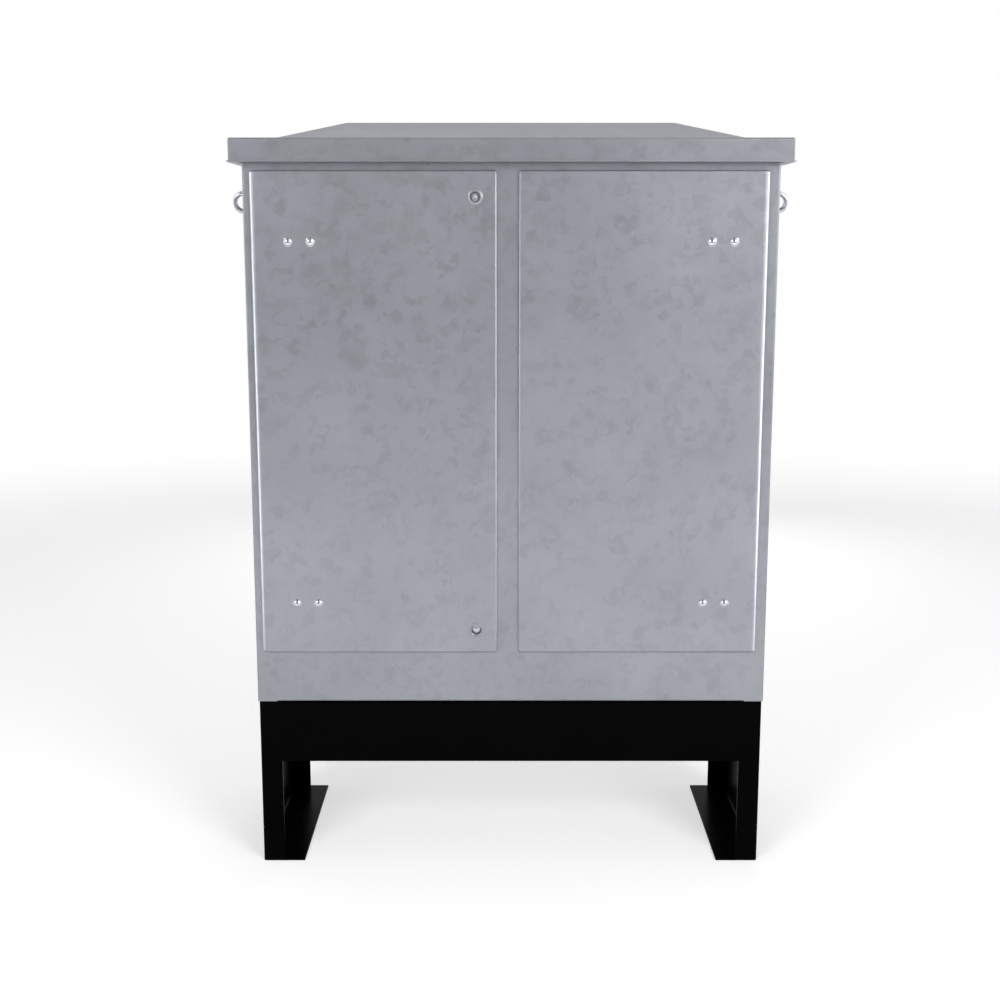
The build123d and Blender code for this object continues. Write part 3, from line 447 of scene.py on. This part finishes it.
def finish_mesh(mesh, merge_distance):
    """Close poles and seams, turn faces outwards, and shade smooth up to the sharp edges."""
    shape = bmesh.new()
    shape.from_mesh(mesh)
    bmesh.ops.remove_doubles(shape, verts=shape.verts, dist=merge_distance)
    bmesh.ops.dissolve_degenerate(shape, edges=shape.edges, dist=merge_distance)
    bmesh.ops.recalc_face_normals(shape, faces=shape.faces)
    for face in shape.faces:
        face.smooth = True
    for edge in shape.edges:
        if len(edge.link_faces) == 2 and edge.calc_face_angle(0.0) > smooth_angle:
            edge.smooth = False
    shape.to_mesh(mesh)
    shape.free()
    mesh.update()


def stand(profile, centre, towards, columns=40):
    """Turned form: each profile point (radius, distance) is a ring round the axis 'towards'."""
    profile = np.array(profile, float)
    axis = np.array(towards, float)
    side = np.cross(axis, (0.0, 0.0, 1.0) if abs(axis[2]) < 0.5 else (1.0, 0.0, 0.0))
    up = np.cross(side, axis)
    angle = np.linspace(0.0, 2 * np.pi, columns, endpoint=False)
    ring = np.cos(angle)[:, None] * side + np.sin(angle)[:, None] * up
    return (
        np.array(centre, float) + profile[:, 0, None, None] * ring
        + profile[:, 1, None, None] * axis
    )


def threaded(radius, start, end, centre, towards, pitch, columns=24):
    """Screw thread: the radius dips by a rounded V as distance and turn advance together."""
    rows = int(round((end - start) / pitch * 6)) + 1
    along = np.linspace(start, end, rows)[:, None]
    angle = np.linspace(0.0, 2 * np.pi, columns, endpoint=False)[None, :]
    phase = 2 * np.pi * along / pitch - angle
    depth = 0.55 * pitch
    fade = np.clip(np.minimum(along - start, end - along) / pitch, 0.0, 1.0)
    dip = depth * fade * (0.5 + 0.5 * np.cos(phase)) ** 1.3
    axis = np.array(towards, float)
    side = np.cross(axis, (0.0, 0.0, 1.0) if abs(axis[2]) < 0.5 else (1.0, 0.0, 0.0))
    up = np.cross(side, axis)
    ring = np.cos(angle)[..., None] * side + np.sin(angle)[..., None] * up
    wall = np.array(centre, float) + (radius - dip)[..., None] * ring + along[..., None] * axis
    first = np.broadcast_to(np.array(centre, float) + start * axis, wall[:1].shape)
    last = np.broadcast_to(np.array(centre, float) + end * axis, wall[:1].shape)
    return np.concatenate([first, wall, last])


def dome_profile():
    """Cap of a ball down to a narrow edge band, then flat underneath to the axis."""
    ball = (dome_radius ** 2 + dome_height ** 2) / (2 * dome_height)
    reach = np.arcsin(dome_radius / ball)
    turn = np.linspace(0.0, reach, 14)
    cap = np.stack([ball * np.sin(turn), ball * np.cos(turn) - ball + dome_height], axis=-1)
    cap[:, 1] = np.maximum(cap[:, 1], 0.0005)
    return np.concatenate([cap, [(dome_radius, 0.0), (0.0, 0.0)]])


def make_hinge_bolts(material):
    """Polished round-head bolts that clamp each hinge arm to its door."""
    for side_name, side in (("left", -1.0), ("right", 1.0)):
        grids = []
        for x in hinge_bolt_xs:
            for level in hinge_levels:
                centre = (side * x, door_face, level)
                grids.append((stand(dome_profile(), centre, (0, -1, 0)), False, True))
                grids.append(
                    (threaded(bolt_radius, 0.0, bolt_length, centre, (0, 1, 0), bolt_pitch),
                     False, True)
                )
        piece = make_piece(
            "round_head_bolts_" + side_name, grids, side_name + "_door",
            material,
        )
        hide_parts("hinge_bolts_" + side_name)


def rounded_triangle(radius, rounding, apex, steps=7):
    """Triangle grown by a rounding: an arc of 120 degrees round each inner corner."""
    corner = apex + np.arange(3) * 2 * np.pi / 3
    sweep = np.linspace(-np.pi / 3, np.pi / 3, steps)
    turn = corner[:, None] + sweep[None, :]
    inner = radius - 2 * rounding
    x = inner * np.cos(corner)[:, None] + rounding * np.cos(turn)
    z = inner * np.sin(corner)[:, None] + rounding * np.sin(turn)
    return np.stack([x.ravel(), z.ravel()], axis=-1)


def loft(sections, centre):
    """Sections, each (outline points in X and Z, distance behind the centre), joined in turn."""
    rows = [
        np.stack([shape[:, 0], np.full(len(shape), depth), shape[:, 1]], axis=-1)
        for shape, depth in sections
    ]
    return np.array(centre, float) + np.stack(rows)


def make_locks(case_material, drive_material):
    """Lock faces with a sloping bezel and a deep cup, and the triangular drive inside."""
    case = [
        (0.01100, lock_rear), (0.01100, 0.0020), (0.01480, 0.0020), (0.01480, 0.0012),
        (0.01465, 0.0009), (0.01190, 0.0001), (0.01165, 0.0), (0.01140, 0.0),
        (0.01115, 0.0001), (0.00955, 0.0017), (0.00950, 0.0020), (0.00950, 0.0120),
        (0.00605, 0.0120), (0.00605, lock_rear),
    ]
    for level_name, level in lock_levels.items():
        centre = (lock_x, lock_face, level)
        grids = [(stand(case, centre, (0, 1, 0), 64), True, True)]
        piece = make_piece(
            "lock_case_" + level_name, grids, "left_door", case_material
        )
        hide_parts("lock_housing_" + level_name)
        apex = np.pi / 2 if level_name == "upper" else -np.pi / 2
        full = rounded_triangle(drive_reach, drive_rounding, apex)
        cut = rounded_triangle(0.0030, 0.0004, apex)
        point = np.zeros_like(full)
        corner = np.radians([135.0, 45.0, -45.0, -135.0])
        square = square_half_diagonal * np.stack([np.cos(corner), np.sin(corner)], axis=-1)
        no_square = np.zeros_like(square)
        grids = [
            (loft([(point, drive_front), (cut, drive_front), (full, 0.0030), (full, 0.0101),
                   (point, 0.0101)], centre), False, True),
            (stand([(0.0, 0.0100), (0.0070, 0.0100), (0.0075, 0.0105), (0.0075, 0.0120),
                    (0.0060, 0.0120), (0.0060, 0.0175), (0.0, 0.0175)], centre, (0, 1, 0)),
             False, True),
            (loft([(no_square, 0.0174), (square, 0.0174), (square, 0.0205),
                   (no_square, 0.0205)], centre), False, True),
        ]
        piece = make_piece(
            "lock_drive_" + level_name, grids, level_name + "_lock", drive_material
        )
        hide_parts("lock_spindle_" + level_name)


def eye_ring(side):
    """Ring of a lifting eye: a round bar carried round a circle, thicker beside its collar."""
    around = np.linspace(0.0, 2 * np.pi, 72, endpoint=False)[:, None]
    section = np.linspace(0.0, 2 * np.pi, 28, endpoint=False)[None, :]
    from_collar = np.abs((around + np.pi) % (2 * np.pi) - np.pi) if side < 0 else np.abs(
        (around % (2 * np.pi)) - np.pi)
    swell = eye_swell * np.exp(-((from_collar / eye_swell_turn) ** 2))
    bar = eye_bar + swell * np.clip(np.cos(section), 0.0, 1.0)
    reach = eye_circle + bar * np.cos(section)
    x = side * eye_x + reach * np.cos(around)
    y = bar * np.sin(section)
    z = eye_z + reach * np.sin(around)
    return np.stack(np.broadcast_arrays(x, y, z), axis=-1)


def make_lifting_eyes(material):
    """Polished eyes: ring, waisted collar and threaded shank."""
    for side_name, side in (("left", -1.0), ("right", 1.0)):
        seat = (side * eye_seat_x, 0.0, eye_z)
        out = (side, 0, 0)
        drop = np.linspace(0.0, 1.0, 9)
        waist = np.stack(
            [0.0125 - 0.0040 * np.sin(drop * np.pi / 2), 0.0012 + 0.0078 * drop], axis=-1
        )
        collar = np.concatenate([[(0.0, 0.0), (0.0121, 0.0), (0.0125, 0.0004)], waist,
                                 [(0.0, 0.0090)]])
        grids = [
            (eye_ring(side), True, True),
            (stand(collar, seat, out), False, True),
            (threaded(shank_radius, 0.0, shank_length, seat, (-side, 0, 0), shank_pitch),
             False, True),
        ]
        piece = make_piece(
            "ring_eye_" + side_name, grids, "root", material
        )
        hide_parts("lifting_eye_" + side_name)


def smooth_copy(node_name, body):
    """The node's own shape with its triangles joined, so that its bends shade as curves."""
    source = nodes[node_name]
    mesh = source.data.copy()
    mesh.name = "smooth_" + node_name
    shape = bmesh.new()
    shape.from_mesh(mesh)
    bmesh.ops.remove_doubles(shape, verts=shape.verts, dist=1e-6)
    bmesh.ops.dissolve_limit(
        shape, angle_limit=flat_angle, verts=shape.verts, edges=shape.edges
    )
    for face in shape.faces:
        face.smooth = True
    for edge in shape.edges:
        if len(edge.link_faces) != 2 or edge.calc_face_angle(0.0) > smooth_angle:
            edge.smooth = False
    shape.to_mesh(mesh)
    shape.free()
    piece = bpy.data.objects.new("smooth_" + node_name, mesh)
    bpy.context.scene.collection.objects.link(piece)
    even = piece.modifiers.new("even", "WEIGHTED_NORMAL")
    even.keep_sharp = True
    even.weight = 100
    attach(piece, body)
    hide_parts(node_name)
    return piece


bead_step = 0.0008          # between the sections of a bead
bead_ripple = 0.0032        # from one ripple of weld metal to the next


def weld_bead(path_start, path_end, radius, normal, columns=10):
    """Bead along a seam: a half-round bar whose radius ripples like laid weld metal."""
    start, end, up = (np.array(v, float) for v in (path_start, path_end, normal))
    length = np.linalg.norm(end - start)
    along = (end - start) / length
    side = np.cross(along, up)
    rows = int(length / bead_step)
    travel = np.linspace(0.0, length, rows)
    ripple = 1.0 + 0.10 * np.abs(np.sin(travel / bead_ripple * np.pi))
    ripple = ripple + 0.06 * np.sin(travel / 0.041)
    angle = np.linspace(0.0, 2 * np.pi, columns, endpoint=False)
    ring = np.cos(angle)[:, None] * side + 0.6 * np.sin(angle)[:, None] * up
    wall = (start + travel[:, None, None] * along
            + radius * ripple[:, None, None] * ring[None])
    first = np.broadcast_to(start, wall[:1].shape)
    last = np.broadcast_to(end, wall[:1].shape)
    return np.concatenate([first, wall, last])


band_end_x = 0.4550
band_rear_y = 0.1980
band_levels = (0.2110, 0.3345)
band_bead = 0.0020
foot_corner_x = 0.4940
foot_reach_y = 0.1930
foot_top = 0.0040
foot_bead = 0.0035


def make_welds(material):
    """Painted beads of the root: rear band ends, and the feet against the side channels."""
    grids = []
    slant = np.sqrt(0.5)
    for side in (-1.0, 1.0):
        low, high = ((side * band_end_x, band_rear_y, level) for level in band_levels)
        grids.append((weld_bead(low, high, band_bead, (0, 1, 0)), False, True))
        front, rear = ((side * foot_corner_x, y, foot_top) for y in (-foot_reach_y, foot_reach_y))
        grids.append(
            (weld_bead(front, rear, foot_bead, (-side * slant, 0, slant)), False, True)
        )
    make_piece("root_welds", grids, "root", material)


# Studio

floor_half = 14.0
fade_start = 2.4            # from the middle; from here on the floor turns into background
fade_end = 6.0
floor_lift = 0.455          # evens out the floor's shadows for the eye
far_mirror = (-1.6, -4.5)   # painted dark reflection: in reflections the floor's front dims between these, in Y
near_mirror = (-1.2, -0.7)  # painted dark reflection too: so does the floor close to the cabinet


def make_floor():
    """Pale floor that fades into the white background with distance.

    The eye and reflections see it lifted by an even glow. In reflections only it is painted
    dimmer far
    in front, and close to the cabinet: a painted dark reflection, so that polished parts show a
    dark side.
    """
    mesh = bpy.data.meshes.new("floor")
    corners = np.array([(-1, -1, 0), (1, -1, 0), (1, 1, 0), (-1, 1, 0)], float) * floor_half
    mesh.from_pydata(corners.tolist(), [], [(0, 1, 2, 3)])
    floor = bpy.data.objects.new("floor", mesh)
    bpy.context.scene.collection.objects.link(floor)
    material, tree, shader = new_material("floor")
    shader.inputs["Base Color"].default_value = (0.75, 0.75, 0.76, 1.0)
    shader.inputs["Roughness"].default_value = 0.85
    shader.inputs["Specular IOR Level"].default_value = 0.1
    place = add_node(tree, "ShaderNodeTexCoord")
    reach = add_node(
        tree, "ShaderNodeVectorMath", {0: (place, "Object")}, operation="LENGTH"
    )
    fade = add_node(
        tree, "ShaderNodeMapRange",
        {"Value": (reach, "Value"), "From Min": fade_start, "From Max": fade_end},
        interpolation_type="SMOOTHSTEP",
    )
    path = add_node(tree, "ShaderNodeLightPath")
    spot = add_node(tree, "ShaderNodeSeparateXYZ", {"Vector": (place, "Object")})
    front_reach = add_node(
        tree, "ShaderNodeMapRange",
        {"Value": (spot, "Y"), "From Min": far_mirror[0], "From Max": far_mirror[1],
         "To Min": 0.0, "To Max": 0.8},
    )
    mirrored = add_node(
        tree, "ShaderNodeMath",
        {0: (front_reach, "Result"), 1: (path, "Is Glossy Ray")}, operation="MULTIPLY",
    )
    # Painted dark reflection: far in front, reflections see the floor as a dim grey glow
    far_tone = blend_colour(tree, (mirrored, "Value"), grey(1.0), grey(0.25))
    glow = add_node(tree, "ShaderNodeEmission", {"Color": (far_tone, 2), "Strength": 1.0})
    lift_tone = blend_colour(tree, (path, "Is Glossy Ray"), grey(1.0), grey(0.5))
    lift = add_node(tree, "ShaderNodeEmission", {"Color": (lift_tone, 2), "Strength": floor_lift})
    lifted = add_node(tree, "ShaderNodeAddShader")
    link(tree, shader, "BSDF", lifted, 0)
    link(tree, lift, "Emission", lifted, 1)
    seen = add_node(
        tree, "ShaderNodeMath", {0: (path, "Is Camera Ray"), 1: (path, "Is Glossy Ray")},
        operation="MAXIMUM",
    )
    close = add_node(
        tree, "ShaderNodeMapRange",
        {"Value": (spot, "Y"), "From Min": near_mirror[0], "From Max": near_mirror[1],
         "To Min": 0.0, "To Max": 0.8},
    )
    close_mirrored = add_node(
        tree, "ShaderNodeMath",
        {0: (close, "Result"), 1: (path, "Is Glossy Ray")}, operation="MULTIPLY",
    )
    # Painted dark reflection: close to the cabinet, reflections see this dim grey instead of the
    # lit floor
    dim = add_node(tree, "ShaderNodeEmission", {"Color": (0.56, 0.56, 0.57, 1), "Strength": 1.0})
    shown = add_node(tree, "ShaderNodeMixShader", {"Fac": (close_mirrored, "Value")})
    link(tree, lifted, "Shader", shown, 1)
    link(tree, dim, "Emission", shown, 2)
    near = add_node(tree, "ShaderNodeMixShader", {"Fac": (seen, "Value")})
    link(tree, shader, "BSDF", near, 1)
    link(tree, shown, "Shader", near, 2)
    far_seen = add_node(
        tree, "ShaderNodeMath", {0: (seen, "Value"), 1: (fade, "Result")}, operation="MULTIPLY"
    )
    whole = add_node(tree, "ShaderNodeMixShader", {"Fac": (far_seen, "Value")})
    link(tree, near, "Shader", whole, 1)
    link(tree, glow, "Emission", whole, 2)
    link(tree, whole, "Shader", tree.nodes["Material Output"], "Surface")
    mesh.materials.append(material)


def make_world():
    """White to the eye, an even grey as light, and a graded studio in reflections.

    Reflections find it dim in front, brighter towards both sides, and pale grey behind.
    """
    world = bpy.data.worlds.new("studio")
    world.use_nodes = True
    tree = world.node_tree
    place = add_node(tree, "ShaderNodeTexCoord")
    parts = add_node(tree, "ShaderNodeSeparateXYZ", {"Vector": (place, "Generated")})
    across = add_node(
        tree, "ShaderNodeMapRange", {"Value": (parts, "X"), "From Min": -1.0, "From Max": 1.0}
    )
    sides = ramp(
        tree, across, "Result",
        [(0.02, grey(0.95)), (0.25, grey(0.62)), (0.42, grey(0.24)), (0.54, grey(0.20)),
         (0.62, grey(0.50)), (0.70, grey(0.94)), (0.97, grey(1.0))],
    )
    behind = add_node(
        tree, "ShaderNodeMapRange",
        {"Value": (parts, "Y"), "From Min": -0.1, "From Max": 0.5},
    )
    sheen = blend_colour(tree, (behind, "Result"), (sides, "Color"), grey(0.70))
    path = add_node(tree, "ShaderNodeLightPath")
    background = tree.nodes["Background"]
    diffuse = blend_colour(tree, (path, "Is Glossy Ray"), grey(0.35), (sheen, 2))
    clear = add_node(
        tree, "ShaderNodeMath", {0: (path, "Is Camera Ray"), 1: (path, "Is Transmission Ray")},
        operation="MAXIMUM",
    )
    colour = blend_colour(tree, (clear, "Value"), (diffuse, 2), grey(1.0))
    link(tree, colour, 2, background, "Color")
    bpy.context.scene.world = world


def soft_light(name, place, aim, width, height, power, shines=True, lights=True, only=()):
    """Soft box: shines is whether reflections show it, lights whether it lights matt surfaces.

    With only, it falls on the pieces named there and on nothing else.
    """
    data = bpy.data.lights.new(name, "AREA")
    data.shape = "RECTANGLE"
    data.size = width
    data.size_y = height
    data.energy = power
    lamp = bpy.data.objects.new(name, data)
    lamp.location = place
    lamp.visible_camera = False
    lamp.visible_glossy = shines
    lamp.visible_diffuse = lights
    lamp.rotation_euler = (Vector(aim) - Vector(place)).to_track_quat("-Z", "Y").to_euler()
    bpy.context.scene.collection.objects.link(lamp)
    if only:
        lit = bpy.data.collections.new("lit_by_" + name)
        for piece_name in only:
            lit.objects.link(bpy.data.objects[piece_name])
        lamp.light_linking.receiver_collection = lit


def make_lights():
    """Two front boxes, a weak top and rear box, and lamps that only show in reflections."""
    middle = (0.0, 0.0, 0.8)
    soft_light("left_box", (-2.0, -3.7, 2.1), middle, 1.4, 1.4, 74.0, shines=False)
    soft_light("right_box", (2.1, -3.6, 2.1), middle, 1.6, 1.6, 98.0, shines=False)
    soft_light("top_box", (0.0, -0.2, 3.6), (0.0, 0.0, 1.0), 2.4, 1.8, 6.0, shines=False)
    soft_light("rear_box", (0.3, 3.4, 1.7), middle, 1.6, 1.2, 30.0, shines=False)
    soft_light("left_glint", (-2.4, -3.0, 2.7), middle, 1.1, 1.1, 16.0, lights=False)
    soft_light("right_glint", (2.5, -2.9, 2.6), middle, 1.3, 1.3, 38.0, lights=False)
    soft_light("left_strip", (-3.0, 1.4, 1.0), middle, 0.9, 2.6, 14.0, lights=False)
    soft_light("right_strip", (3.0, 1.4, 1.0), middle, 0.9, 2.6, 18.0, lights=False)
    # These two draw the bright line down the doors' hinge edges. They fall on the doors only,
    # because they would wash out the side panels.
    doors = ("smooth_left_door", "smooth_right_door")
    soft_light("left_edge", (-2.2, -0.3, 0.8), middle, 0.8, 2.0, 17.0, lights=False, only=doors)
    soft_light("right_edge", (2.2, -0.3, 0.8), middle, 0.9, 2.0, 26.0, lights=False, only=doors)


dress_nodes()
make_floor()
make_world()
make_lights()
set_camera()
bpy.context.scene.view_settings.view_transform = "Standard"
